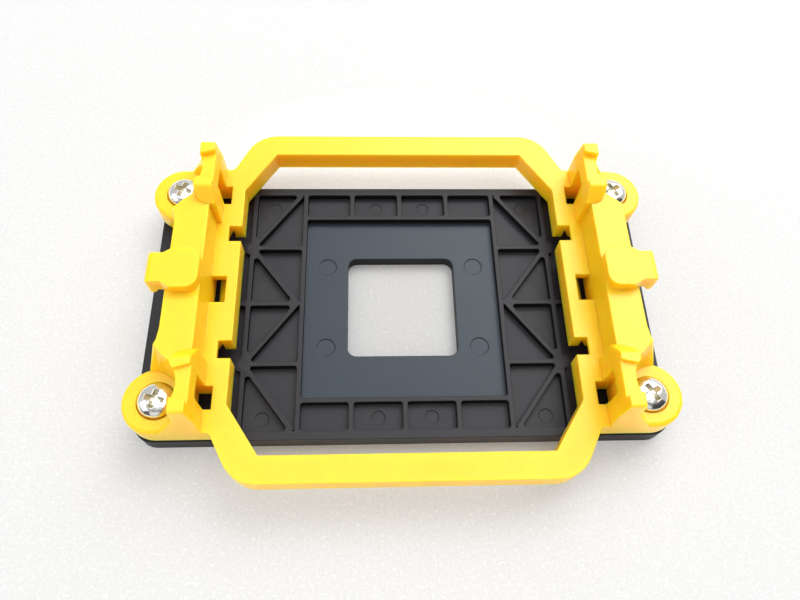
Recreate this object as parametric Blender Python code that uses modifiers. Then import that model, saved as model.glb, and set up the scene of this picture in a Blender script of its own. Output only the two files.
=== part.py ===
"""Processor cooler mounting bracket: a moulded retention frame over a ribbed backplate, held by four screws.

Metres, +Z up. The origin is under the middle of the backplate, on the surface that it lies on. X runs across
the two clip rails, Y along them. The frame and the plate are symmetric about both axes, so each is modelled
as the quarter in +X +Y and mirrored.
"""

import math

import bmesh
import bpy
from mathutils import Matrix, Vector

# Screw pattern of the socket, half of 96 mm by 48 mm, which the frame and the plate share
HOLE_X = 0.048
HOLE_Y = 0.024

# Backplate
PLATE_MARGIN_X = 0.0059
PLATE_MARGIN_Y = 0.00615
PLATE_THICKNESS = 0.0043
PLATE_CORNER_RADIUS = 0.004
POCKET_DEPTH = 0.0016
RIB = 0.001
RIM = 0.00185
RECESS_HALF_X = 0.0213
RECESS_HALF_Y = 0.0215
SIDE_RIB_X = 0.0334
SIDE_POCKET_MARGIN = 0.0035
HUB_Y = 0.0140
HUB_RADIUS = 0.0013
BACK_RIB_X = 0.011
WINDOW_HALF = 0.0119
WINDOW_RADIUS = 0.002
PLATE_BOSS_RADIUS = 0.0066
CELL_MARK_RADIUS = 0.00145
RECESS_MARK_RADIUS = 0.0020
RECESS_MARK_X = 0.0165
RECESS_MARK_Y = 0.0098
MARK_DEPTH = 0.00015

# Retention frame: heights from its underside
BOARD_GAP = 0.0022
FLANGE_HEIGHT = 0.0048
RAIL_HEIGHT = 0.0120
LUG_HEIGHT = 0.0144
NECK_HEIGHT = 0.0142
HORN_INNER_HEIGHT = 0.0150
HORN_END_HEIGHT = 0.0155

# Retention frame: plan of the loop and the flange
FLANGE_WIDTH = 0.0054
LOOP_RUN = 0.0097
LOOP_BAR = 0.0053
LOOP_DRAW_IN = 0.00655
LOOP_CORNER_SETBACK = 0.0044
LOOP_CORNER_RADIUS = 0.0073
LOOP_FOOT_SETBACK = 0.0028
TAB_CORNER_MARGIN = 0.0008
GAP_DEPTH = 0.00275
GAP_LENGTH = 0.00385
GAP_INNER_Y = 0.01155
GAP_LIP = 0.001
GAP_UNDERCUT = 0.0016
GROOVE_SETBACK = 0.00065
GROOVE_WIDTH = 0.00145
GROOVE_HEIGHT = 0.0029
GROOVE_LENGTH = 0.002
END_MARGIN = 0.0064
END_DRAFT = 0.0006
EAR_RADIUS = 0.0067
EAR_FILLET = 0.0008
COUNTERBORE_RADIUS = 0.0038
COUNTERBORE_DEPTH = 0.0011
SCREW_HOLE_RADIUS = 0.0019
EDGE_FILLET = 0.001

# Clip rail, with the end wall that is drawn in round the screw: margins are from the screw
RAIL_SETBACK = 0.0010
RAIL_WIDTH = 0.00695
RAIL_DRAFT = 0.0003
RAIL_FLARE_MARGIN = 0.0118
RAIL_FLARE_LENGTH = 0.0021
RAIL_CUSP_SETBACK = 0.0003
RAIL_CUSP_MARGIN = 0.0087
RAIL_CUSP_BOW = -0.0002
RAIL_CUSP_END_MARGIN = 0.0048
RAIL_FOOT_REACH = 0.0019
RAIL_FOOT_MARGIN = 0.0063
RAIL_FOOT_BOW = 0.00097
RAIL_FOOT_END_MARGIN = 0.00205
RAIL_END_SETBACK = 0.0044
RAIL_WALL = 0.0021
RAIL_CORE_MARGIN = 0.0105

# Horn at each end of the rail
HORN_PROUD = 0.00105
HORN_WIDTH = 0.0043
HORN_START_MARGIN = 0.0077
HORN_RAMP = 0.0026
HORN_CORNER_RADIUS = 0.0027
HORN_LEAN = 0.0007
HORN_LEAN_HEIGHT = 0.0103
NOTCH_START_MARGIN = 0.0037
NOTCH_END_MARGIN = 0.0036
NOTCH_SKEW = 0.0012
DRIVER_RADIUS = 0.0060
GUSSET_HEIGHT = 0.0112
GUSSET_SETBACK = 0.0014

# Lug that the cooler's clip hooks under, its reaches from the rail's outer face
LUG_HALF_Y = 0.0044
LUG_CORNER_RADIUS = 0.0024
HOOK_HALF_Y = 0.0032
HOOK_NECK_SETBACK = 0.0014
HOOK_ROOT_REACH = 0.0005
HOOK_REACH = 0.0037
HOOK_UNDERSIDE = 0.0109
HOOK_CORNER_RADIUS = 0.0008
HOOK_TOP_RADIUS = 0.0013
HOOK_LIP_DROP = 0.0011
HOOK_LIP_WIDTH = 0.0014
HOOK_LIP_SLOPE = 0.0008
HOOK_LIP_RADIUS = 0.0005

# Windows through the flange
MID_WINDOW_HALF_Y = 0.00305
MID_WINDOW_WIDTH = 0.00315
MID_WINDOW_LEDGE = 0.0022
MID_WINDOW_SKIN = 0.0018
MID_WINDOW_HOLLOW = 0.0026
CORNER_WINDOW_PROUD = 0.0015
CORNER_WINDOW_DEPTH = 0.0037
CORNER_WINDOW_START_MARGIN = 0.0029
CORNER_WINDOW_END_MARGIN = 0.00185
CORNER_WINDOW_HEIGHT = 0.0112

# Screws and the threaded inserts that they run into
HEAD_RADIUS = 0.0033
HEAD_HEIGHT = 0.0026
HEAD_RIM = 0.0009
SHANK_RADIUS = 0.00135
SHANK_LENGTH = 0.0087
RECESS_LENGTH = 0.0038
RECESS_WIDTH = 0.0011
RECESS_DEPTH = 0.0015
INSERT_RADIUS = 0.0024
INSERT_FLANGE_RADIUS = 0.0035
INSERT_FLANGE = 0.0009

# Between faces that touch on the real part
CLEARANCE = 0.0003
# How far a cutter runs past the face that it opens, and a quarter past its mirror plane
OVERRUN = 0.001
ARC_SEGMENTS = 6
END_WALL_SEGMENTS = 8
EAR_FILLET_STEPS = 3
TURN_STEPS = 28

# Places that follow from the sizes
PLATE_HALF_X = HOLE_X + PLATE_MARGIN_X
PLATE_HALF_Y = HOLE_Y + PLATE_MARGIN_Y
POCKET_FLOOR = PLATE_THICKNESS - POCKET_DEPTH
FRAME_BOTTOM = PLATE_THICKNESS + BOARD_GAP
FLANGE_TOP = FRAME_BOTTOM + FLANGE_HEIGHT
EAR_SEAT = FLANGE_TOP - COUNTERBORE_DEPTH
RAIL_TOP = FRAME_BOTTOM + RAIL_HEIGHT
RAIL_OUTER_X = HOLE_X - RAIL_SETBACK
RAIL_INNER_X = RAIL_OUTER_X - RAIL_WIDTH
RAIL_END_X = HOLE_X - RAIL_END_SETBACK
HORN_X = RAIL_INNER_X - HORN_PROUD
HORN_OUTER_X = HORN_X + HORN_WIDTH
HORN_START_Y = HOLE_Y - HORN_START_MARGIN
TAB_X = RAIL_INNER_X - FLANGE_WIDTH
GAP_X = TAB_X + GAP_DEPTH
END_Y = HOLE_Y + END_MARGIN
LOOP_HALF_Y = END_Y + LOOP_RUN
HOOK_NECK_X = RAIL_OUTER_X - HOOK_NECK_SETBACK
HOOK_ROOT_X = RAIL_OUTER_X + HOOK_ROOT_REACH
HOOK_X = RAIL_OUTER_X + HOOK_REACH


def new_collection(name, parent):
    collection = bpy.data.collections.new(name)
    parent.children.link(collection)
    return collection


def plain_material(name, colour, roughness, metallic):
    material = bpy.data.materials.new(name)
    material.use_nodes = True
    shader = material.node_tree.nodes["Principled BSDF"]
    shader.inputs["Base Color"].default_value = (*colour, 1.0)
    shader.inputs["Roughness"].default_value = roughness
    shader.inputs["Metallic"].default_value = metallic
    return material


def rounded(corners, segments=ARC_SEGMENTS):
    """The closed outline through corners of (x, y) or (x, y, radius), each radius turned into an arc."""
    outline = []
    for index, corner in enumerate(corners):
        here = Vector(corner[:2])
        radius = corner[2] if len(corner) == 3 else 0
        if not radius:
            outline.append(here)
            continue
        back = (Vector(corners[index - 1][:2]) - here).normalized()
        ahead = (Vector(corners[(index + 1) % len(corners)][:2]) - here).normalized()
        half_angle = back.angle(ahead) / 2
        centre = here + (back + ahead).normalized() * radius / math.sin(half_angle)
        start = here + back * radius / math.tan(half_angle) - centre
        end = here + ahead * radius / math.tan(half_angle) - centre
        first = math.atan2(start.y, start.x)
        sweep = math.atan2(start.cross(end), start.dot(end))
        for step in range(segments + 1):
            angle = first + sweep * step / segments
            outline.append(centre + radius * Vector((math.cos(angle), math.sin(angle))))
    return outline


def bowed(start, end, bow, segments=END_WALL_SEGMENTS):
    """Points on the shallow arc from start to end, its middle set off the chord by bow to the left of the way."""
    start, end = Vector(start), Vector(end)
    off = Vector((start.y - end.y, end.x - start.x)).normalized() * bow
    points = []
    for step in range(segments + 1):
        share = step / segments
        points.append(start.lerp(end, share) + off * 4 * share * (1 - share))
    return points


def finish_mesh(name, mesh, collection, material):
    """An object for the mesh. Without a material it is a cutter or a shape to be joined, and stays hidden."""
    obj = bpy.data.objects.new(name, mesh)
    collection.objects.link(obj)
    if material:
        mesh.materials.clear()
        mesh.materials.append(material)
    else:
        obj.hide_render = True
        obj.display_type = "WIRE"
    return obj


# A profile's own axes: drawn from above, from the side along +X, or from the front along +Y
FROM_ABOVE = Matrix.Identity(4)
FROM_SIDE = Matrix(((0, 0, 1, 0), (1, 0, 0, 0), (0, 1, 0, 0), (0, 0, 0, 1)))
FROM_FRONT = Matrix(((1, 0, 0, 0), (0, 0, -1, 0), (0, 1, 0, 0), (0, 0, 0, 1)))


def extruded(name, outlines, low, high, collection, material=None, view=FROM_ABOVE):
    """A flat outline, with any holes, extruded from low to high along the axis that it is drawn against."""
    curve = bpy.data.curves.new(name, "CURVE")
    curve.dimensions = "2D"
    curve.fill_mode = "BOTH"
    curve.extrude = (high - low) / 2
    for outline in outlines:
        spline = curve.splines.new("POLY")
        spline.points.add(len(outline) - 1)
        for point, place in zip(spline.points, outline):
            point.co = (place[0], place[1], 0, 1)
        spline.use_cyclic_u = True
    drawn = bpy.data.objects.new(name + "_outline", curve)
    collection.objects.link(drawn)
    graph = bpy.context.evaluated_depsgraph_get()
    mesh = bpy.data.meshes.new_from_object(drawn.evaluated_get(graph))
    bpy.data.objects.remove(drawn)
    levels = (-high, -low) if view is FROM_FRONT else (low, high)
    for vertex in mesh.vertices:
        vertex.co.z = levels[vertex.co.z > 0]
    mesh.transform(view)
    tidy_faces(mesh)
    return finish_mesh(name, mesh, collection, material)


def tidy_faces(mesh):
    """Welds the loose caps and turns the faces outwards."""
    shape = bmesh.new()
    shape.from_mesh(mesh)
    bmesh.ops.remove_doubles(shape, verts=shape.verts, dist=1e-6)
    bmesh.ops.recalc_face_normals(shape, faces=shape.faces)
    shape.to_mesh(mesh)
    shape.free()


def lofted(name, sections, collection):
    """A solid through plan sections of (height, points), each with the same number of points."""
    shape = bmesh.new()
    rings = [[shape.verts.new((x, y, height)) for x, y in points] for height, points in sections]
    shape.faces.new(reversed(rings[0]))
    shape.faces.new(rings[-1])
    for lower, upper in zip(rings, rings[1:]):
        for index in range(len(lower)):
            following = (index + 1) % len(lower)
            shape.faces.new((lower[index], lower[following], upper[following], upper[index]))
    bmesh.ops.recalc_face_normals(shape, faces=shape.faces)
    mesh = bpy.data.meshes.new(name)
    shape.to_mesh(mesh)
    shape.free()
    return finish_mesh(name, mesh, collection, None)


def turned(name, profile, collection, material, closed=False):
    """A profile of (radius, height) in the XZ plane, turned about Z. It runs down its outer side."""
    shape = bmesh.new()
    points = [shape.verts.new((radius, 0, height)) for radius, height in profile]
    pairs = list(zip(points, points[1:]))
    if closed:
        pairs.append((points[-1], points[0]))
    for first, second in pairs:
        shape.edges.new((first, second))
    mesh = bpy.data.meshes.new(name)
    shape.to_mesh(mesh)
    shape.free()
    obj = finish_mesh(name, mesh, collection, material)
    screw = obj.modifiers.new("Turn", "SCREW")
    screw.steps = TURN_STEPS
    screw.render_steps = TURN_STEPS
    screw.use_merge_vertices = True
    screw.merge_threshold = 0.00001
    screw.use_smooth_shade = False
    return obj


def level(shape, low, high):
    """Puts the ends of an upright shape at exactly two heights, so that faces meant to be level are."""
    middle = (low + high) / 2
    for vert in shape.verts:
        vert.co.z = high if vert.co.z > middle else low


def cylinder(name, radius, low, high, x, y, collection, top_radius=None, segments=TURN_STEPS):
    """An upright cylinder, or a cone with a top radius of its own."""
    shape = bmesh.new()
    bmesh.ops.create_cone(
        shape,
        cap_ends=True,
        segments=segments,
        radius1=radius,
        radius2=radius if top_radius is None else top_radius,
        depth=high - low,
        matrix=Matrix.Translation((x, y, (low + high) / 2)),
    )
    level(shape, low, high)
    mesh = bpy.data.meshes.new(name)
    shape.to_mesh(mesh)
    shape.free()
    return finish_mesh(name, mesh, collection, None)


def box(name, low, high, collection, turn=0.0):
    """A box between two corners, turned about its own upright axis."""
    size = Vector(high) - Vector(low)
    place = Matrix.Translation((Vector(high) + Vector(low)) / 2)
    shape = bmesh.new()
    bmesh.ops.create_cube(
        shape,
        size=1,
        matrix=place @ Matrix.Rotation(turn, 4, "Z") @ Matrix.Diagonal((*size, 1)),
    )
    level(shape, low[2], high[2])
    mesh = bpy.data.meshes.new(name)
    shape.to_mesh(mesh)
    shape.free()
    return finish_mesh(name, mesh, collection, None)


def combine(obj, operation, *others):
    for other in others:
        boolean = obj.modifiers.new(other.name, "BOOLEAN")
        boolean.operation = operation
        boolean.solver = "EXACT"
        boolean.object = other


def mirror_quarter(obj):
    """Cuts the quarter at both planes and mirrors it into the whole."""
    mirror = obj.modifiers.new("Mirror", "MIRROR")
    mirror.use_axis = (True, True, False)
    mirror.use_bisect_axis = (True, True, False)
    mirror.bisect_threshold = 0.00001
    mirror.merge_threshold = 0.00001


def shade(obj):
    """Smooth shading with sharp edges past 30 degrees."""
    obj.data.shade_smooth()
    obj.data.set_sharp_from_angle(angle=math.radians(30))


# Backplate
def rib_between(name, start, end, collection):
    """A rib of the plate's rib thickness from one point to another, as high as the pockets and a bit more."""
    run = Vector(end) - Vector(start)
    middle = (Vector(end) + Vector(start)) / 2
    half = run.length / 2
    low = (middle.x - half, middle.y - RIB / 2, POCKET_FLOOR - 2 * OVERRUN)
    high = (middle.x + half, middle.y + RIB / 2, PLATE_THICKNESS + 2 * OVERRUN)
    return box(name, low, high, collection, turn=math.atan2(run.y, run.x))


def pocket_cutter(cutters):
    """The pockets of one quarter: one field inside the rim, less the ribs, the hub and the screw boss."""
    ribs = new_collection("plate_ribs", cutters)
    field_y = PLATE_HALF_Y - RIM
    side_pocket_x = HOLE_X - SIDE_POCKET_MARGIN
    inner_x = RECESS_HALF_X + RIB / 2
    inner_y = RECESS_HALF_Y + RIB / 2
    hub = (SIDE_RIB_X, HUB_Y)
    runs = (
        ("recess_side", (inner_x, -2 * OVERRUN), (inner_x, field_y + OVERRUN)),
        ("recess_end", (-2 * OVERRUN, inner_y), (inner_x, inner_y)),
        ("side", (SIDE_RIB_X, -2 * OVERRUN), (SIDE_RIB_X, field_y + OVERRUN)),
        ("back_middle", (0, inner_y), (0, field_y + OVERRUN)),
        ("back_quarter", (BACK_RIB_X, inner_y), (BACK_RIB_X, field_y + OVERRUN)),
        ("cross_middle", (inner_x, 0), (side_pocket_x + OVERRUN, 0)),
        ("cross_hub", (inner_x, HUB_Y), hub),
        ("diagonal_in", hub, (inner_x + RIB, 0)),
        ("diagonal_out", hub, (inner_x + RIB, field_y)),
    )
    for name, start, end in runs:
        rib_between("rib_" + name, start, end, ribs)
    above = PLATE_THICKNESS + 2 * OVERRUN
    cylinder("rib_hub", HUB_RADIUS, POCKET_FLOOR - 2 * OVERRUN, above, *hub, ribs, segments=16)
    cylinder("screw_boss", PLATE_BOSS_RADIUS, POCKET_FLOOR - 2 * OVERRUN, above, HOLE_X, HOLE_Y, ribs)
    field = box(
        "plate_pockets",
        (-OVERRUN, -OVERRUN, POCKET_FLOOR),
        (side_pocket_x, field_y, PLATE_THICKNESS + OVERRUN),
        cutters,
    )
    boolean = field.modifiers.new("Ribs", "BOOLEAN")
    boolean.operation = "DIFFERENCE"
    boolean.solver = "EXACT"
    boolean.operand_type = "COLLECTION"
    boolean.collection = ribs
    return field


def ejector_marks():
    """The shallow round marks that the mould's ejector pins leave in one quarter, as radius, x and y."""
    cell_y = (RECESS_HALF_Y + RIB + PLATE_HALF_Y - RIM) / 2
    yield RECESS_MARK_RADIUS, RECESS_MARK_X, RECESS_MARK_Y
    yield CELL_MARK_RADIUS, BACK_RIB_X / 2, cell_y
    yield CELL_MARK_RADIUS, SIDE_RIB_X - 3 * CELL_MARK_RADIUS, cell_y


def build_backplate(parts, cutters, material):
    outline = rounded(
        (
            (-OVERRUN, -OVERRUN),
            (PLATE_HALF_X, -OVERRUN),
            (PLATE_HALF_X, PLATE_HALF_Y, PLATE_CORNER_RADIUS),
            (-OVERRUN, PLATE_HALF_Y),
        )
    )
    plate = extruded("backplate", [outline], 0, PLATE_THICKNESS, parts, material)
    window = extruded(
        "plate_window",
        [
            rounded(
                (
                    (-OVERRUN, -OVERRUN),
                    (WINDOW_HALF, -OVERRUN),
                    (WINDOW_HALF, WINDOW_HALF, WINDOW_RADIUS),
                    (-OVERRUN, WINDOW_HALF),
                )
            )
        ],
        -OVERRUN,
        PLATE_THICKNESS,
        cutters,
    )
    bore = cylinder(
        "insert_bore",
        INSERT_RADIUS + CLEARANCE,
        -OVERRUN,
        PLATE_THICKNESS + OVERRUN,
        HOLE_X,
        HOLE_Y,
        cutters,
    )
    seat = cylinder(
        "insert_seat",
        INSERT_FLANGE_RADIUS + CLEARANCE,
        -OVERRUN,
        INSERT_FLANGE + 2 * CLEARANCE,
        HOLE_X,
        HOLE_Y,
        cutters,
    )
    combine(plate, "DIFFERENCE", pocket_cutter(cutters), window, bore, seat)
    for number, (radius, x, y) in enumerate(ejector_marks()):
        mark = cylinder(
            f"ejector_mark_{number}",
            radius,
            POCKET_FLOOR - MARK_DEPTH,
            POCKET_FLOOR + OVERRUN,
            x,
            y,
            cutters,
            segments=20,
        )
        combine(plate, "DIFFERENCE", mark)
    mirror_quarter(plate)
    shade(plate)
    return plate


# Retention frame
def flange_outline():
    """The quarter of the loop and the flange, inside edge first."""
    bar_y = LOOP_HALF_Y - LOOP_BAR
    under_wall = RAIL_INNER_X + RAIL_WALL / 2
    loop_inner_x = TAB_X - LOOP_DRAW_IN
    return rounded(
        (
            (-OVERRUN, bar_y),
            (loop_inner_x, bar_y),
            (TAB_X, HOLE_Y + TAB_CORNER_MARGIN),
            (TAB_X, -OVERRUN),
            (under_wall, -OVERRUN),
            (under_wall, END_Y),
            (TAB_X + LOOP_FOOT_SETBACK, END_Y, EDGE_FILLET),
            (loop_inner_x + LOOP_CORNER_SETBACK, LOOP_HALF_Y, LOOP_CORNER_RADIUS),
            (-OVERRUN, LOOP_HALF_Y),
        )
    )


def rail_plan(rise):
    """Plan of the rail at a share of its rise from the flange to its top. Its end wall leans in at the screw."""
    inside = (HORN_X + HORN_OUTER_X) / 2
    inner_x = RAIL_INNER_X + RAIL_DRAFT * rise
    outer_x = RAIL_OUTER_X + RAIL_DRAFT * (1 - rise)
    flare_y = HOLE_Y - RAIL_FLARE_MARGIN
    foot = bowed(
        (HOLE_X + RAIL_FOOT_REACH, HOLE_Y - RAIL_FOOT_MARGIN),
        (RAIL_END_X, HOLE_Y - RAIL_FOOT_END_MARGIN),
        RAIL_FOOT_BOW,
    )
    cusp = bowed(
        (HOLE_X - RAIL_CUSP_SETBACK, HOLE_Y - RAIL_CUSP_MARGIN),
        (RAIL_END_X, HOLE_Y - RAIL_CUSP_END_MARGIN),
        RAIL_CUSP_BOW,
    )
    wall = [low.lerp(high, rise) for low, high in zip(foot, cusp)]
    return [
        (inner_x, -OVERRUN),
        (outer_x, -OVERRUN),
        (outer_x, flare_y),
        (outer_x + RAIL_DRAFT * (2 - rise), flare_y + RAIL_FLARE_LENGTH),
        *wall,
        (inside, wall[-1].y),
        (inside, HORN_START_Y),
        (inner_x, HORN_START_Y),
    ]


def horn_shapes(cutters):
    """The horn's plan as a solid, and the gusset that runs from its back down to the ear."""
    leant_x = HORN_OUTER_X - HORN_LEAN
    plan = rounded(
        (
            (HORN_X, HORN_START_Y),
            (HORN_OUTER_X, HORN_START_Y, HORN_CORNER_RADIUS),
            (HORN_OUTER_X, HORN_START_Y + 2 * HORN_CORNER_RADIUS),
            (leant_x, HOLE_Y),
            (leant_x, END_Y + OVERRUN),
            (HORN_X, END_Y + OVERRUN),
        )
    )
    horn = extruded("horn", [plan], FRAME_BOTTOM, FRAME_BOTTOM + HORN_END_HEIGHT + OVERRUN, cutters)
    foot_x = HOLE_X - GUSSET_SETBACK
    slope = (foot_x - leant_x) / (FRAME_BOTTOM + GUSSET_HEIGHT - FLANGE_TOP)
    gusset = extruded(
        "horn_gusset",
        [
            (
                (leant_x - OVERRUN, FLANGE_TOP - OVERRUN),
                (foot_x + slope * OVERRUN, FLANGE_TOP - OVERRUN),
                (leant_x - slope * OVERRUN, FRAME_BOTTOM + GUSSET_HEIGHT + OVERRUN),
                (leant_x - OVERRUN, FRAME_BOTTOM + GUSSET_HEIGHT + OVERRUN),
            )
        ],
        HOLE_Y,
        END_Y + 2 * OVERRUN,
        cutters,
        view=FROM_FRONT,
    )
    return horn, gusset


def horn_side(cutters):
    """The horn's side profile, as a solid across it."""
    profile = rounded(
        (
            (HORN_START_Y - OVERRUN, FRAME_BOTTOM - OVERRUN),
            (END_Y, FRAME_BOTTOM - OVERRUN),
            (END_Y, FLANGE_TOP),
            (END_Y - END_DRAFT, FRAME_BOTTOM + HORN_END_HEIGHT, EDGE_FILLET / 2),
            (HOLE_Y + NOTCH_END_MARGIN, FRAME_BOTTOM + HORN_END_HEIGHT),
            (HOLE_Y - NOTCH_START_MARGIN, FRAME_BOTTOM + HORN_INNER_HEIGHT),
            (HORN_START_Y + HORN_RAMP, FRAME_BOTTOM + HORN_INNER_HEIGHT, EDGE_FILLET),
            (HORN_START_Y, RAIL_TOP),
            (HORN_START_Y - OVERRUN, RAIL_TOP),
        )
    )
    return extruded(
        "horn_side", [profile], HORN_X - OVERRUN, HOLE_X + OVERRUN, cutters, view=FROM_SIDE
    )


def horn_cutters(cutters):
    """What is cut from the horn: its lean, the notch in its top and the room for the screwdriver."""
    lean_start = FRAME_BOTTOM + HORN_LEAN_HEIGHT
    lean_top = FRAME_BOTTOM + HORN_END_HEIGHT
    above = HORN_LEAN * OVERRUN / (lean_top - lean_start)
    lean = extruded(
        "horn_lean",
        [
            (
                (HORN_X - OVERRUN, lean_start),
                (HORN_X, lean_start),
                (HORN_X + HORN_LEAN + above, lean_top + OVERRUN),
                (HORN_X - OVERRUN, lean_top + OVERRUN),
            )
        ],
        HORN_START_Y - OVERRUN,
        END_Y + OVERRUN,
        cutters,
        view=FROM_FRONT,
    )
    notch_start = HOLE_Y - NOTCH_START_MARGIN
    notch_end = HOLE_Y + NOTCH_END_MARGIN
    notch = extruded(
        "horn_notch",
        [
            (
                (HORN_X - OVERRUN, notch_start - NOTCH_SKEW / 3),
                (HORN_OUTER_X + OVERRUN, notch_start + NOTCH_SKEW),
                (HORN_OUTER_X + OVERRUN, notch_end - NOTCH_SKEW),
                (HORN_X - OVERRUN, notch_end + NOTCH_SKEW / 3),
            )
        ],
        FRAME_BOTTOM + NECK_HEIGHT,
        lean_top + 2 * OVERRUN,
        cutters,
    )
    driver = cylinder(
        "driver_clearance",
        DRIVER_RADIUS,
        FRAME_BOTTOM - OVERRUN,
        lean_top + 2 * OVERRUN,
        HOLE_X,
        HOLE_Y,
        cutters,
    )
    return lean, notch, driver


def build_horn(cutters):
    """The upright at the end of the rail, with its gusset."""
    horn, gusset = horn_shapes(cutters)
    combine(horn, "UNION", gusset)
    combine(horn, "INTERSECT", horn_side(cutters))
    combine(horn, "DIFFERENCE", *horn_cutters(cutters))
    return horn


def build_lug(cutters):
    """The block on the rail, and the hook that it carries over the rail's outer edge."""
    top = FRAME_BOTTOM + LUG_HEIGHT
    block = extruded(
        "lug_block",
        [
            rounded(
                (
                    (RAIL_INNER_X + RAIL_DRAFT, -OVERRUN),
                    (HOOK_ROOT_X, -OVERRUN),
                    (HOOK_ROOT_X, HOOK_HALF_Y),
                    (HOOK_NECK_X, LUG_HALF_Y),
                    (RAIL_INNER_X + RAIL_DRAFT, LUG_HALF_Y, LUG_CORNER_RADIUS),
                )
            )
        ],
        RAIL_TOP - OVERRUN,
        top,
        cutters,
    )
    underside = FRAME_BOTTOM + HOOK_UNDERSIDE
    tip = underside - HOOK_LIP_DROP
    hook = extruded(
        "lug_hook",
        [
            rounded(
                (
                    (HOOK_NECK_X - OVERRUN, -OVERRUN),
                    (HOOK_X, -OVERRUN),
                    (HOOK_X, HOOK_HALF_Y, HOOK_CORNER_RADIUS),
                    (HOOK_NECK_X - OVERRUN, HOOK_HALF_Y),
                )
            )
        ],
        tip - OVERRUN,
        top + OVERRUN,
        cutters,
    )
    hook_side = extruded(
        "lug_hook_side",
        [
            rounded(
                (
                    (HOOK_NECK_X - 2 * OVERRUN, underside),
                    (HOOK_X - HOOK_LIP_WIDTH - HOOK_LIP_SLOPE, underside),
                    (HOOK_X - HOOK_LIP_WIDTH, tip),
                    (HOOK_X, tip, HOOK_LIP_RADIUS),
                    (HOOK_X, top, HOOK_TOP_RADIUS),
                    (HOOK_NECK_X - 2 * OVERRUN, top),
                )
            )
        ],
        -2 * OVERRUN,
        HOOK_HALF_Y + OVERRUN,
        cutters,
        view=FROM_FRONT,
    )
    combine(hook, "INTERSECT", hook_side)
    return block, hook


def gap_cutters(cutters):
    """The gap in the flange, wider under the rail than at its top, and the groove under the flange beside it."""
    bottom = FRAME_BOTTOM - OVERRUN
    gap_outer_y = GAP_INNER_Y + GAP_LENGTH
    undercut = GAP_UNDERCUT / (FLANGE_HEIGHT - GAP_LIP)
    gap = extruded(
        "flange_gap",
        [
            (
                (TAB_X - OVERRUN, bottom),
                (GAP_X + GAP_UNDERCUT + undercut * OVERRUN, bottom),
                (GAP_X, FLANGE_TOP - GAP_LIP),
                (GAP_X, FLANGE_TOP + OVERRUN),
                (TAB_X - OVERRUN, FLANGE_TOP + OVERRUN),
            )
        ],
        GAP_INNER_Y,
        gap_outer_y,
        cutters,
        view=FROM_FRONT,
    )
    groove_x = GAP_X - GROOVE_SETBACK
    groove = extruded(
        "flange_groove",
        [
            (
                (groove_x, bottom),
                (groove_x + GROOVE_WIDTH * (1 + OVERRUN / GROOVE_HEIGHT), bottom),
                (groove_x, FRAME_BOTTOM + GROOVE_HEIGHT),
            )
        ],
        GAP_INNER_Y - GROOVE_LENGTH,
        gap_outer_y + GROOVE_LENGTH,
        cutters,
        view=FROM_FRONT,
    )
    return gap, groove


def mid_window_cutter(name, half_y, top, cutters):
    """The opening beside the lug up to some height. It narrows to a ledge at the flange's underside."""
    bottom = FRAME_BOTTOM - OVERRUN
    window_x = RAIL_INNER_X - MID_WINDOW_WIDTH
    profile = (
        (window_x + MID_WINDOW_LEDGE, bottom),
        (RAIL_INNER_X, bottom),
        (RAIL_INNER_X, top),
        (window_x, top),
        (window_x, FRAME_BOTTOM + MID_WINDOW_LEDGE),
        (window_x + MID_WINDOW_LEDGE, FRAME_BOTTOM),
    )
    return extruded(name, [profile], -2 * OVERRUN, half_y, cutters, view=FROM_FRONT)


def frame_cutters(cutters):
    """What is cut from the joined quarter: windows, the counterbore and screw hole, and the rail's core."""
    mid = mid_window_cutter("mid_window", MID_WINDOW_HALF_Y, FLANGE_TOP + OVERRUN, cutters)
    hollow_y = MID_WINDOW_HALF_Y + MID_WINDOW_HOLLOW
    hollow = mid_window_cutter("mid_hollow", hollow_y, FLANGE_TOP - MID_WINDOW_SKIN, cutters)
    bottom = FRAME_BOTTOM - OVERRUN
    corner_x = HORN_X - CORNER_WINDOW_PROUD
    corner = box(
        "corner_window",
        (corner_x, HOLE_Y - CORNER_WINDOW_START_MARGIN, bottom),
        (
            corner_x + CORNER_WINDOW_DEPTH,
            HOLE_Y + CORNER_WINDOW_END_MARGIN,
            FRAME_BOTTOM + CORNER_WINDOW_HEIGHT,
        ),
        cutters,
    )
    counterbore = cylinder(
        "counterbore", COUNTERBORE_RADIUS, EAR_SEAT, FLANGE_TOP + OVERRUN, HOLE_X, HOLE_Y, cutters
    )
    hole = cylinder(
        "screw_hole", SCREW_HOLE_RADIUS, bottom, EAR_SEAT + OVERRUN, HOLE_X, HOLE_Y, cutters
    )
    core = box(
        "rail_core",
        (RAIL_INNER_X + RAIL_DRAFT + RAIL_WALL, RAIL_WALL / 2, bottom),
        (RAIL_OUTER_X - RAIL_WALL, HOLE_Y - RAIL_CORE_MARGIN, RAIL_TOP - RAIL_WALL),
        cutters,
    )
    return mid, hollow, corner, counterbore, hole, core, *gap_cutters(cutters)


def ear_plan(inset):
    """The plan of the ear round the screw, drawn in by an inset. Its inner end is buried in the rail."""
    inner_x = RAIL_INNER_X + RAIL_WALL / 3
    outer_x = HOLE_X + EAR_RADIUS - inset
    start_y = HOLE_Y - EAR_RADIUS + inset
    end_y = END_Y - inset
    return rounded(
        (
            (inner_x, start_y),
            (outer_x, start_y, 0.999 * (HOLE_Y - start_y)),
            (outer_x, end_y, 0.999 * (end_y - HOLE_Y)),
            (inner_x, end_y),
        ),
        segments=12,
    )


def ear_sections():
    """The ear's plans by height, its top edge rounded over."""
    yield FRAME_BOTTOM, ear_plan(0)
    for step in range(EAR_FILLET_STEPS + 1):
        angle = math.pi / 2 * step / EAR_FILLET_STEPS
        height = FLANGE_TOP - EAR_FILLET * (1 - math.sin(angle))
        yield height, ear_plan(EAR_FILLET * (1 - math.cos(angle)))


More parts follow.
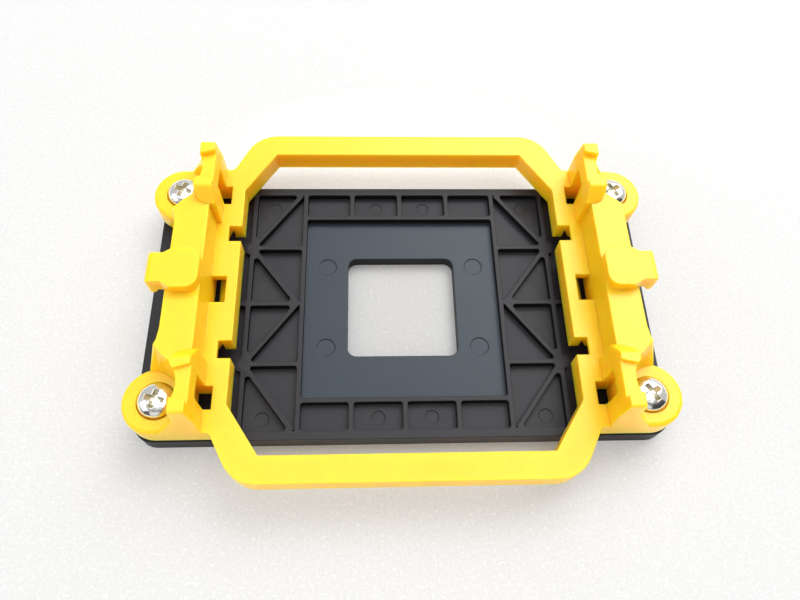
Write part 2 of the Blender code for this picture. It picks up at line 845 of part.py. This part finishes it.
def build_frame(parts, cutters, material):
    frame = extruded(
        "retention_frame",
        [flange_outline()],
        FRAME_BOTTOM,
        FLANGE_TOP,
        parts,
        material,
    )
    ear = lofted("ear", list(ear_sections()), cutters)
    rail = lofted(
        "rail",
        ((FRAME_BOTTOM, rail_plan(0)), (FLANGE_TOP, rail_plan(0)), (RAIL_TOP, rail_plan(1))),
        cutters,
    )
    combine(frame, "UNION", ear, rail, build_horn(cutters), *build_lug(cutters))
    combine(frame, "DIFFERENCE", *frame_cutters(cutters))
    mirror_quarter(frame)
    shade(frame)
    return frame


# Fasteners
def corners():
    """The four screw places, by name."""
    for end, y_sign in (("front", -1), ("back", 1)):
        for side, x_sign in (("left", -1), ("right", 1)):
            yield f"{end}_{side}", x_sign * HOLE_X, y_sign * HOLE_Y


def build_screw(name, x, y, parts, cutters, material):
    """A pan head with a cross recess, on a plain shank where the thread is."""
    seat = EAR_SEAT + CLEARANCE
    dome = HEAD_HEIGHT - HEAD_RIM
    profile = [(0, HEAD_HEIGHT)]
    for step in range(1, ARC_SEGMENTS + 1):
        angle = math.pi / 2 * step / ARC_SEGMENTS
        profile.append((HEAD_RADIUS * math.sin(angle), HEAD_RIM + dome * math.cos(angle)))
    profile += [(HEAD_RADIUS, 0), (SHANK_RADIUS, 0), (SHANK_RADIUS, CLEARANCE - SHANK_LENGTH)]
    profile += [(SHANK_RADIUS - CLEARANCE, -SHANK_LENGTH), (0, -SHANK_LENGTH)]
    screw = turned(name, profile, parts, material)
    screw.location = (x, y, seat)
    for number in range(2):
        blade = box(
            f"{name}_recess_{number}",
            (x - RECESS_LENGTH / 2, y - RECESS_WIDTH / 2, seat + HEAD_HEIGHT - RECESS_DEPTH),
            (x + RECESS_LENGTH / 2, y + RECESS_WIDTH / 2, seat + HEAD_HEIGHT + OVERRUN),
            cutters,
            turn=math.radians(20 + 90 * number),
        )
        combine(screw, "DIFFERENCE", blade)
    return screw


def build_insert(name, x, y, parts, material):
    """A flanged sleeve pressed into the plate from below, up to just under the frame."""
    bore = SHANK_RADIUS + CLEARANCE
    top = FRAME_BOTTOM - CLEARANCE
    low = CLEARANCE
    profile = (
        (bore, top),
        (INSERT_RADIUS, top),
        (INSERT_RADIUS, low + INSERT_FLANGE),
        (INSERT_FLANGE_RADIUS, low + INSERT_FLANGE),
        (INSERT_FLANGE_RADIUS, low),
        (bore, low),
    )
    insert = turned(name, profile, parts, material, closed=True)
    insert.location = (x, y, 0)
    return insert


def main():
    for obj in list(bpy.data.objects):
        bpy.data.objects.remove(obj)
    parts = new_collection("cooler_mounting_bracket", bpy.context.scene.collection)
    cutters = new_collection("cutters", bpy.context.scene.collection)
    yellow = plain_material("yellow_moulding", (0.98, 0.72, 0.03), 0.32, 0.0)
    black = plain_material("black_moulding", (0.06, 0.065, 0.07), 0.42, 0.0)
    steel = plain_material("nickel_screw", (0.80, 0.80, 0.78), 0.22, 1.0)
    brass = plain_material("brass_insert", (0.72, 0.55, 0.27), 0.32, 1.0)
    build_frame(parts, cutters, yellow)
    build_backplate(parts, cutters, black)
    for place, x, y in corners():
        build_screw("screw_" + place, x, y, parts, cutters, steel)
        build_insert("insert_" + place, x, y, parts, brass)


main()
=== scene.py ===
import math

import bmesh
import bpy
from mathutils import Matrix, Vector


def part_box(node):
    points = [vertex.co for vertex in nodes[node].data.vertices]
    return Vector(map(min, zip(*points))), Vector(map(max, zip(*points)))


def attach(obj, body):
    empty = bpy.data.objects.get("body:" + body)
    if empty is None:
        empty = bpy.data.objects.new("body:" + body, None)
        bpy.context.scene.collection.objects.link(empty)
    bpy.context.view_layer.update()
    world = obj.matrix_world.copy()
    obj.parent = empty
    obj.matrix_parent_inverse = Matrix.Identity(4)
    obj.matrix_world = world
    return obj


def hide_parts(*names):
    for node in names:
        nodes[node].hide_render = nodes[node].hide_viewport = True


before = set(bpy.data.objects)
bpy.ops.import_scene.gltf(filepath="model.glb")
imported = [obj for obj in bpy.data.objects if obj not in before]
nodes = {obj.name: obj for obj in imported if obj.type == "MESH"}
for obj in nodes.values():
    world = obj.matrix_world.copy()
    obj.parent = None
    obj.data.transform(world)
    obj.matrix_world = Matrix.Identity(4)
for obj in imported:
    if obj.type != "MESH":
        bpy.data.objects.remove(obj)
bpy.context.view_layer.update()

# Camera
# A hand-held camera above and in front of the bracket, a little to its left and turned slightly clockwise.
camera = bpy.data.objects.new("camera", bpy.data.cameras.new("camera"))
bpy.context.scene.collection.objects.link(camera)
camera.location = (-0.00712, -0.06595, 0.13850)
camera.rotation_euler = (math.radians(26.425), math.radians(-2.119), math.radians(-1.473))
camera.data.sensor_width = 36.0
camera.data.lens = 30.79
camera.data.clip_start = 0.005
bpy.context.scene.camera = camera


# Retention frame
# One moulding in a bright yellow nylon, from a polished tool, so its walls are glossy and mirror each other.
# Light passes a little way into the nylon. It keeps the CAD solid, with every edge very slightly rounded.
class Signal:
    """A value in a material. Arithmetic on it adds Math nodes, and node() adds a node of any other kind."""

    def __init__(self, tree, socket=None):
        self.tree = tree
        self.socket = socket

    def node(self, kind, settings=(), inputs=(), out=0):
        made = self.tree.nodes.new(kind)
        for name, value in dict(settings).items():
            setattr(made, name, value)
        for name, value in dict(inputs).items():
            if isinstance(value, Signal):
                self.tree.links.new(value.socket, made.inputs[name])
            else:
                made.inputs[name].default_value = value
        return Signal(self.tree, made.outputs[out])

    def maths(self, operation, first, second=0.0):
        return self.node("ShaderNodeMath", {"operation": operation}, {0: first, 1: second})

    def __add__(self, other):
        return self.maths("ADD", self, other)

    def __radd__(self, other):
        return self.maths("ADD", other, self)

    def __sub__(self, other):
        return self.maths("SUBTRACT", self, other)

    def __rsub__(self, other):
        return self.maths("SUBTRACT", other, self)

    def __mul__(self, other):
        return self.maths("MULTIPLY", self, other)

    def __rmul__(self, other):
        return self.maths("MULTIPLY", other, self)

    def __lt__(self, other):
        return self.maths("LESS_THAN", self, other)

    def __gt__(self, other):
        return self.maths("GREATER_THAN", self, other)


class Finish:
    """A material, its shader and the first value of its own tree."""

    def __init__(self, name):
        self.material = bpy.data.materials.new(name)
        self.material.use_nodes = True
        self.tree = self.material.node_tree
        self.shader = self.tree.nodes["Principled BSDF"]
        self.start = Signal(self.tree)
        self.place = self.start.node("ShaderNodeTexCoord", out="Object")

    def noise(self, scale, detail=2.0, roughness=0.5):
        return self.start.node(
            "ShaderNodeTexNoise",
            inputs={"Vector": self.place, "Scale": scale, "Detail": detail, "Roughness": roughness},
        )

    def mixed(self, factor, first, second):
        """A colour between two, by a value."""
        node = self.tree.nodes.new("ShaderNodeMix")
        node.data_type = "RGBA"
        for name, value in (("Factor_Float", factor), ("A_Color", first), ("B_Color", second)):
            socket = next(socket for socket in node.inputs if socket.identifier == name)
            if isinstance(value, Signal):
                self.tree.links.new(value.socket, socket)
            else:
                socket.default_value = value
        return Signal(self.tree, next(s for s in node.outputs if s.identifier == "Result_Color"))

    def rounded_edges(self, radius):
        return self.start.node("ShaderNodeBevel", {"samples": 6}, {"Radius": radius})

    def set(self, **values):
        for name, value in values.items():
            socket = self.shader.inputs[name.replace("_", " ")]
            if isinstance(value, Signal):
                self.tree.links.new(value.socket, socket)
            else:
                socket.default_value = value

    def put_on(self, *objects):
        for obj in objects:
            for slot in obj.material_slots:
                slot.material = self.material


YELLOW = (1.0, 0.595, 0.012, 1.0)
DEEP_YELLOW = (0.99, 0.565, 0.007, 1.0)
EDGE_RADIUS = 0.0003

yellow = Finish("yellow_nylon")
yellow.set(
    Base_Color=yellow.mixed(yellow.noise(70, 2), YELLOW, DEEP_YELLOW),
    Roughness=0.30 + 0.10 * yellow.noise(300, 3),
    Specular_IOR_Level=0.40,
    Subsurface_Weight=0.8,
    Subsurface_Radius=(1.0, 0.4, 0.04),
    Subsurface_Scale=0.006,
    Normal=yellow.start.node(
        "ShaderNodeBump",
        inputs={
            "Strength": 0.04,
            "Distance": 0.0002,
            "Height": yellow.noise(700, 2),
            "Normal": yellow.rounded_edges(EDGE_RADIUS),
        },
    ),
)
yellow.put_on(nodes["retention_frame"])

# Backplate
# One moulding in black glass-filled nylon. Its ribs and rim are dull. The walls of its pockets are duller
# still, and painted darker as painted shade. The recess round the window is smoother, and painted a bluer
# grey as a painted sheen. The pockets have rounded corners, and the ribs at each side run into two round
# hubs.
PLATE_TOP = 0.0043
BELOW_THE_RIBS = 0.0033
SHALLOWEST_POCKET = 0.001
SHORTEST_WALL = 0.0009
SMALLEST_TURN = math.radians(60)
POCKETS_HALF_X = 0.0480
POCKETS_HALF_Y = 0.0285
CORNER_RADIUS = 0.0006
CORNER_STEPS = 6
HUB_X = 0.0334
HUB_Y = 0.0140
HUB_RADIUS = 0.0018
HUB_DEPTH = 0.0015
HUB_DROP = 0.00002
HUB_SEGMENTS = 32
RECESS_HALF = 0.0214
LEVEL = 0.0001
WELD = 0.000001
CHARCOAL = (0.010, 0.010, 0.014, 1.0)
WORN_CHARCOAL = (0.016, 0.016, 0.020, 1.0)
RECESS_CHARCOAL_PAINTED_SHEEN = (0.011, 0.022, 0.034, 1.0)
POCKET_WALL_SHADE = (0.006, 0.006, 0.007, 1.0)
WORN_POCKET_WALL_SHADE = (0.010, 0.010, 0.011, 1.0)

black = Finish("black_glass_filled_nylon")
axes = black.tree.nodes.new("ShaderNodeSeparateXYZ")
black.tree.links.new(black.place.socket, axes.inputs[0])
across, along, height = (Signal(black.tree, output) for output in axes.outputs)
# The recess round the window is smoother, and its bluer grey is a painted sheen.
in_recess = (
    (across.maths("ABSOLUTE", across) < RECESS_HALF)
    * (along.maths("ABSOLUTE", along) < RECESS_HALF)
    * (height < BELOW_THE_RIBS)
)
grain = black.noise(3000, 3, 0.6)
black.set(
    Base_Color=black.mixed(
        in_recess, black.mixed(black.noise(90, 2), CHARCOAL, WORN_CHARCOAL), RECESS_CHARCOAL_PAINTED_SHEEN
    ),
    Roughness=0.43 - 0.14 * in_recess + 0.10 * grain + 0.06 * black.noise(110, 3),
    Specular_IOR_Level=0.30,
    Normal=black.start.node(
        "ShaderNodeBump",
        inputs={
            "Strength": 0.3,
            "Distance": 0.00008,
            "Height": grain,
            "Normal": black.rounded_edges(EDGE_RADIUS),
        },
    ),
)

# The pocket walls' darker colour is painted shade; they are also rougher and less shiny.
pocket_wall_shade = Finish("pocket_walls_painted_shade")
pocket_wall_shade.set(
    Base_Color=pocket_wall_shade.mixed(pocket_wall_shade.noise(400, 2), POCKET_WALL_SHADE, WORN_POCKET_WALL_SHADE),
    Roughness=0.55 + 0.10 * pocket_wall_shade.noise(3000, 2),
    Specular_IOR_Level=0.15,
    Normal=pocket_wall_shade.rounded_edges(EDGE_RADIUS),
)

shape = bmesh.new()
shape.from_mesh(nodes["backplate"].data)
bmesh.ops.remove_doubles(shape, verts=shape.verts, dist=WELD)


def inside_corners(shape):
    """Each upright inside corner of a pocket: its top, its depth and the two ways its walls leave it."""
    for edge in shape.edges:
        foot, top = sorted(edge.verts, key=lambda vert: vert.co.z)
        depth = top.co.z - foot.co.z
        if edge.is_convex or top.co.z < PLATE_TOP - LEVEL or depth < SHALLOWEST_POCKET:
            continue
        if depth < 0.99 * edge.calc_length() or edge.calc_face_angle() < SMALLEST_TURN:
            continue
        ways = []
        for side in top.link_edges:
            walls = [face for face in side.link_faces if abs(face.normal.z) < 0.1]
            way = side.other_vert(top).co - top.co
            if len(walls) == 1 and abs(way.z) < 0.1 * LEVEL and way.length > SHORTEST_WALL:
                ways.append(way.normalized())
        if len(ways) == 2:
            yield top.co.copy(), depth, ways


def fill_corner(shape, corner, depth, ways, radius):
    """A small upright fillet between two walls, tangent to both."""
    half = ways[0].angle(ways[1]) / 2
    sweep = math.pi - 2 * half
    if ways[0].cross(ways[1]).z > 0:
        sweep = -sweep
    middle = corner + (ways[0] + ways[1]).normalized() * radius / math.sin(half)
    start = shape.verts.new(corner + ways[0] * radius / math.tan(half))
    known = set(shape.verts)
    bmesh.ops.spin(shape, geom=[start], cent=middle, axis=(0, 0, 1), angle=sweep, steps=CORNER_STEPS)
    arc = sorted(set(shape.verts) - known, key=lambda vert: (vert.co - start.co).length)
    top = shape.faces.new([shape.verts.new(corner), start, *arc])
    made = bmesh.ops.extrude_face_region(shape, geom=[top])["geom"]
    lower = [item for item in made if isinstance(item, bmesh.types.BMVert)]
    bmesh.ops.translate(shape, verts=lower, vec=(0, 0, -depth))


fillets = bmesh.new()
for corner, depth, ways in list(inside_corners(shape)):
    fill_corner(fillets, corner, depth, ways, CORNER_RADIUS)
for x_side in (-1, 1):
    for y_side in (-1, 1):
        hub = bmesh.ops.create_cone(
            fillets,
            cap_ends=True,
            segments=HUB_SEGMENTS,
            radius1=HUB_RADIUS,
            radius2=HUB_RADIUS,
            depth=HUB_DEPTH,
        )
        place = (x_side * HUB_X, y_side * HUB_Y, PLATE_TOP - HUB_DEPTH / 2 - HUB_DROP)
        bmesh.ops.translate(fillets, verts=hub["verts"], vec=place)
bmesh.ops.recalc_face_normals(fillets, faces=fillets.faces)
fillet_mesh = bpy.data.meshes.new("fillets")
fillets.to_mesh(fillet_mesh)
fillets.free()
shape.from_mesh(fillet_mesh)
bpy.data.meshes.remove(fillet_mesh)
# Walls inside the pockets take the material with the painted shade.
for face in shape.faces:
    middle = face.calc_center_median()
    within = abs(middle.x) < POCKETS_HALF_X and abs(middle.y) < POCKETS_HALF_Y
    is_wall = middle.z < PLATE_TOP - 2 * LEVEL and abs(face.normal.z) < 0.5
    face.material_index = int(within and is_wall)
plate_mesh = bpy.data.meshes.new("ribbed_plate")
shape.to_mesh(plate_mesh)
shape.free()
plate_mesh.materials.append(black.material)
plate_mesh.materials.append(pocket_wall_shade.material)
plate = bpy.data.objects.new("ribbed_plate", plate_mesh)
bpy.context.scene.collection.objects.link(plate)
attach(plate, "root")
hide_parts("backplate")

# Screws
# Four pan-head screws, cold headed with a cross recess for a driver, with a rolled thread and nickel plate.
# Each stands in its ear's counterbore and runs down through the frame into its insert.
HEAD_RADIUS = 0.0035
HEAD_HEIGHT = 0.0026
HEAD_RIM = 0.0009
HEAD_CHAMFER = 0.0002
DOME_STEPS = 10
DOME_FULLNESS = 0.9
SHANK_TIP = 0.0004
THREAD_RADIUS = 0.00135
THREAD_ROOT = 0.00108
THREAD_PITCH = 0.0007
THREAD_RUN_OUT = 0.0008
THREAD_TAPER = 0.0003
THREAD_SUNK = 0.0001
THREAD_FLANK = 0.36
THREAD_STEPS = 16
RECESS_SPAN = 0.0066
RECESS_WIDTH = 0.0015
RECESS_DEPTH = 0.0014
RECESS_FOOT = (0.30, 0.50, 1.0)
RECESS_TURN = {"front_left": 76, "front_right": 30, "back_left": 68, "back_right": 28}
TURN_STEPS = 40
SMOOTH_BELOW = math.radians(32)
NICKEL = (0.84, 0.83, 0.80, 1.0)
WORN_NICKEL = (0.74, 0.73, 0.70, 1.0)
RECESS_NICKEL = (0.80, 0.78, 0.68, 1.0)
RECESS_SHADE_NICKEL = (0.55, 0.54, 0.46, 1.0)

bright = Finish("nickel_plate")
bright.set(
    Base_Color=bright.mixed(bright.noise(500, 2), NICKEL, WORN_NICKEL),
    Metallic=1.0,
    Roughness=0.14 + 0.12 * bright.noise(900, 3),
    Normal=bright.start.node(
        "ShaderNodeBump",
        inputs={
            "Strength": 0.7,
            "Distance": 0.0003,
            "Height": bright.noise(420, 2),
            "Normal": bright.rounded_edges(0.00015),
        },
    ),
)
# The cross recess is rougher, and its darker, yellower nickel is painted shade.
dull_shaded_recess = Finish("recess_nickel_painted_shade")
dull_shaded_recess.set(
    Base_Color=dull_shaded_recess.mixed(dull_shaded_recess.noise(1500, 3), RECESS_NICKEL, RECESS_SHADE_NICKEL),
    Metallic=1.0,
    Roughness=0.30 + 0.20 * dull_shaded_recess.noise(1500, 3),
    Normal=dull_shaded_recess.rounded_edges(0.0001),
)


def point(shape, radius, height):
    """A point of a profile, out from the screw's axis and up from its seat."""
    return shape.verts.new((radius, 0.0, height))


def turn(shape, chain):
    """Spins a chain of points once round the upright axis."""
    edges = [shape.edges.new(pair) for pair in zip(chain, chain[1:])]
    bmesh.ops.spin(
        shape,
        geom=list(chain) + edges,
        axis=(0, 0, 1),
        cent=(0, 0, 0),
        angle=math.tau,
        steps=TURN_STEPS,
        use_merge=True,
    )
    bmesh.ops.remove_doubles(shape, verts=shape.verts, dist=2 * WELD)


def headed_blank(length):
    """The head and the bare shank, from the seat at height 0."""
    shape = bmesh.new()
    dome = HEAD_HEIGHT - HEAD_RIM
    chain = [point(shape, 0, HEAD_HEIGHT)]
    for step in range(1, DOME_STEPS + 1):
        angle = math.pi / 2 * step / DOME_STEPS
        out = HEAD_RADIUS * math.sin(angle) ** DOME_FULLNESS
        up = dome * math.cos(angle) ** DOME_FULLNESS
        chain.append(point(shape, out, HEAD_RIM + up))
    chain.append(point(shape, HEAD_RADIUS, HEAD_CHAMFER))
    chain.append(point(shape, HEAD_RADIUS - HEAD_CHAMFER, 0))
    chain.append(point(shape, THREAD_RADIUS, 0))
    chain.append(point(shape, THREAD_RADIUS, -THREAD_RUN_OUT))
    chain.append(point(shape, THREAD_ROOT, -THREAD_RUN_OUT - THREAD_TAPER))
    chain.append(point(shape, THREAD_ROOT, SHANK_TIP - length))
    chain.append(point(shape, THREAD_ROOT - SHANK_TIP, -length))
    chain.append(point(shape, 0, -length))
    turn(shape, chain)
    bmesh.ops.recalc_face_normals(shape, faces=shape.faces)
    return shape


def recess_punch(turned):
    """Two crossed blades that narrow towards the bottom of the recess."""
    shape = bmesh.new()
    for angle in (turned, turned + 90):
        blade = bmesh.ops.create_cube(shape, size=1)["verts"]
        bmesh.ops.scale(shape, verts=blade, vec=(RECESS_SPAN, RECESS_WIDTH, 2 * RECESS_DEPTH))
        foot = [vert for vert in blade if vert.co.z < 0]
        bmesh.ops.scale(shape, verts=foot, vec=RECESS_FOOT)
        bmesh.ops.translate(shape, verts=blade, vec=(0, 0, HEAD_HEIGHT))
        bmesh.ops.rotate(shape, verts=blade, matrix=Matrix.Rotation(math.radians(angle), 3, "Z"))
    # The recess's faces take the nickel with the painted shade.
    for face in shape.faces:
        face.material_index = 1
    return shape


def as_object(shape, name, *finishes):
    """Puts a finished shape into the scene, with its materials in order."""
    mesh = bpy.data.meshes.new(name)
    shape.to_mesh(mesh)
    shape.free()
    for finish in finishes:
        mesh.materials.append(finish.material)
    obj = bpy.data.objects.new(name, mesh)
    bpy.context.scene.collection.objects.link(obj)
    return obj


def rolled_thread(shape, length):
    """A three-sided ridge wound down the shank."""
    turns = (length - THREAD_RUN_OUT - 2 * SHANK_TIP) / THREAD_PITCH
    start = -THREAD_RUN_OUT - THREAD_TAPER
    half = THREAD_FLANK * THREAD_PITCH
    corners = [
        point(shape, THREAD_ROOT - THREAD_SUNK, start),
        point(shape, THREAD_RADIUS, start - half),
        point(shape, THREAD_ROOT - THREAD_SUNK, start - 2 * half),
    ]
    ridge = shape.faces.new(corners)
    steps = int(turns * THREAD_STEPS)
    bmesh.ops.spin(
        shape,
        geom=[ridge, *ridge.edges, *corners],
        axis=(0, 0, 1),
        cent=(0, 0, 0),
        dvec=(0, 0, -THREAD_PITCH / THREAD_STEPS),
        angle=math.tau * steps / THREAD_STEPS,
        steps=steps,
    )
    bmesh.ops.recalc_face_normals(shape, faces=shape.faces)


for corner, turned in RECESS_TURN.items():
    node = f"screw_{corner}"
    low, high = (Vector(end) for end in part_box(node))
    length = high.z - low.z - HEAD_HEIGHT
    blank = as_object(headed_blank(length), f"blank_{corner}", bright, dull_shaded_recess)
    punch = as_object(recess_punch(turned), f"punch_{corner}", bright, dull_shaded_recess)
    cut = blank.modifiers.new("recess", "BOOLEAN")
    cut.operation = "DIFFERENCE"
    cut.solver = "EXACT"
    cut.use_self = True
    cut.object = punch
    screw_shape = bmesh.new()
    screw_shape.from_object(blank, bpy.context.evaluated_depsgraph_get())
    rolled_thread(screw_shape, length)
    place = ((low.x + high.x) / 2, (low.y + high.y) / 2, high.z - HEAD_HEIGHT)
    bmesh.ops.translate(screw_shape, verts=screw_shape.verts, vec=place)
    for face in screw_shape.faces:
        face.smooth = True
    for used in (blank, punch):
        bpy.data.objects.remove(used)
    screw = as_object(screw_shape, f"nickel_screw_{corner}", bright, dull_shaded_recess)
    screw.data.set_sharp_from_angle(angle=SMOOTH_BELOW)
    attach(screw, "root")
    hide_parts(node)

# Inserts
# Four turned brass sleeves with a flange at the foot, pressed into the plate from below. The screws run into
# them, and the frame stands on their upper ends.
BRASS = (0.72, 0.52, 0.24, 1.0)
DEEP_BRASS = (0.62, 0.43, 0.19, 1.0)

brass = Finish("turned_brass")
brass.set(
    Base_Color=brass.mixed(brass.noise(300, 2), BRASS, DEEP_BRASS),
    Metallic=1.0,
    Roughness=0.28 + 0.10 * brass.noise(1200, 2),
    Normal=brass.rounded_edges(0.00015),
)
brass.put_on(*(obj for name, obj in nodes.items() if name.startswith("insert")))

# Floor
# A white sheet with a fine speckle under the bracket, which also glows evenly to the camera. Painted shade
# darkens that glow inside the plate's window and under the front of the loop, and painted light brightens it
# at the back.
SHEET_HALF = 1.5
SHEET_DROP = 0.00005
SHEET_WHITE = (0.88, 0.88, 0.87, 1.0)
SHEET_GREY = (0.8, 0.8, 0.8, 1.0)
SHEET_GLOW = (1.0, 0.99, 0.975, 1.0)
BLACK = (0.0, 0.0, 0.0, 1.0)
WINDOW_HALF = 0.0120
LOOP_HALF = 0.0345
LOOP_EDGE = 0.0360
PLATE_EDGE = 0.0290
GLOW_MIDDLE = 0.042
GLOW_HALF_WIDTH = 0.050
GLOW_HALF_DEPTH = 0.024

floor_mesh = bpy.data.meshes.new("floor")
sheet_shape = bmesh.new()
bmesh.ops.create_grid(sheet_shape, x_segments=1, y_segments=1, size=SHEET_HALF)
bmesh.ops.translate(sheet_shape, verts=sheet_shape.verts, vec=(0, 0, -SHEET_DROP))
sheet_shape.to_mesh(floor_mesh)
sheet_shape.free()
floor = bpy.data.objects.new("floor", floor_mesh)
bpy.context.scene.collection.objects.link(floor)

sheet = Finish("white_sheet")
seen = sheet.start.node("ShaderNodeLightPath", out="Is Camera Ray")
floor_axes = sheet.tree.nodes.new("ShaderNodeSeparateXYZ")
sheet.tree.links.new(sheet.place.socket, floor_axes.inputs[0])
floor_across, floor_along = (Signal(sheet.tree, output) for output in floor_axes.outputs[:2])
from_middle = floor_across.maths("ABSOLUTE", floor_across)
# Painted shade in the sheet's glow, inside the window and under the front of the loop.
window_painted_shade = (from_middle < WINDOW_HALF) * (floor_along.maths("ABSOLUTE", floor_along) < WINDOW_HALF)
loop_painted_shadow = (from_middle < LOOP_HALF) * (floor_along < -PLATE_EDGE) * (floor_along > -LOOP_EDGE)
# Painted light in the sheet's glow, behind the plate.
glow_across = floor_across * (1 / GLOW_HALF_WIDTH)
glow_along = (floor_along - GLOW_MIDDLE) * (1 / GLOW_HALF_DEPTH)
painted_light_behind = 1.0 - glow_across * glow_across - glow_along * glow_along
painted_light_behind = painted_light_behind.maths("MAXIMUM", painted_light_behind, 0.0)
fibres = sheet.noise(1700, 3, 0.65)
flecks = sheet.noise(1300, 1) > 0.66
weave = 0.87 + 0.26 * fibres + 0.10 * flecks
sheet.set(
    Base_Color=sheet.mixed(seen, SHEET_WHITE, sheet.mixed(weave * 0.5, BLACK, SHEET_GREY)),
    Roughness=0.8,
    Emission_Strength=1.0,
    # The even glow, less the painted shade, plus the painted light.
    Emission_Color=sheet.mixed(
        seen * weave * (0.30 - 0.23 * window_painted_shade - 0.20 * loop_painted_shadow + 0.14 * painted_light_behind),
        BLACK,
        SHEET_GLOW,
    ),
    Normal=sheet.start.node(
        "ShaderNodeBump", inputs={"Strength": 0.15, "Distance": 0.0002, "Height": fibres}
    ),
)
floor_mesh.materials.append(sheet.material)

# Lights
# Wide soft light from behind on the right, as from a window, and from the ceiling, so the flat tops shine and
# what faces the camera is in shade. Weaker light comes from the front and from the left.


def softbox(name, place, size, power):
    """A rectangular soft light that faces the bracket."""
    lamp = bpy.data.lights.new(name, "AREA")
    lamp.shape = "RECTANGLE"
    lamp.size, lamp.size_y = size
    lamp.energy = power
    obj = bpy.data.objects.new(name, lamp)
    bpy.context.scene.collection.objects.link(obj)
    obj.location = place
    obj.rotation_euler = (-Vector(place)).to_track_quat("-Z", "Y").to_euler()


softbox("window_light", (0.47, 0.64, 0.82), (1.0, 0.8), 10.2)
softbox("ceiling_light", (0.10, 0.25, 1.05), (1.1, 1.1), 9.4)
softbox("front_light", (-0.20, -0.85, 0.50), (0.8, 0.8), 1.75)
softbox("left_light", (-0.80, -0.15, 0.55), (0.7, 0.7), 2.4)

# Room
# Pale all round. What shines sees it dark in front of the bracket, behind the camera, and bright elsewhere.
FRONT_SIDE = -0.12
DARK_BELOW = 0.80
BRIGHT_ABOVE = 0.02

world = bpy.data.worlds.new("studio")
world.use_nodes = True
room = Signal(world.node_tree)
toward = world.node_tree.nodes.new("ShaderNodeSeparateXYZ")
world.node_tree.links.new(room.node("ShaderNodeTexCoord", out="Generated").socket, toward.inputs[0])
backwards, upwards = (Signal(world.node_tree, toward.outputs[name]) for name in ("Y", "Z"))
rays = {ray: room.node("ShaderNodeLightPath", out=f"Is {ray} Ray") for ray in ("Camera", "Glossy")}
dark_side = (backwards < FRONT_SIDE) * (upwards < DARK_BELOW) * rays["Glossy"]
bright_side = (backwards > FRONT_SIDE) * (upwards > BRIGHT_ABOVE) * rays["Glossy"]
strength = 0.36 - 0.31 * dark_side + 0.30 * bright_side + 0.60 * rays["Camera"]
background = world.node_tree.nodes["Background"]
background.inputs["Color"].default_value = (1.0, 1.0, 1.0, 1.0)
world.node_tree.links.new(strength.socket, background.inputs["Strength"])
bpy.context.scene.world = world
bpy.context.scene.view_settings.view_transform = "Standard"
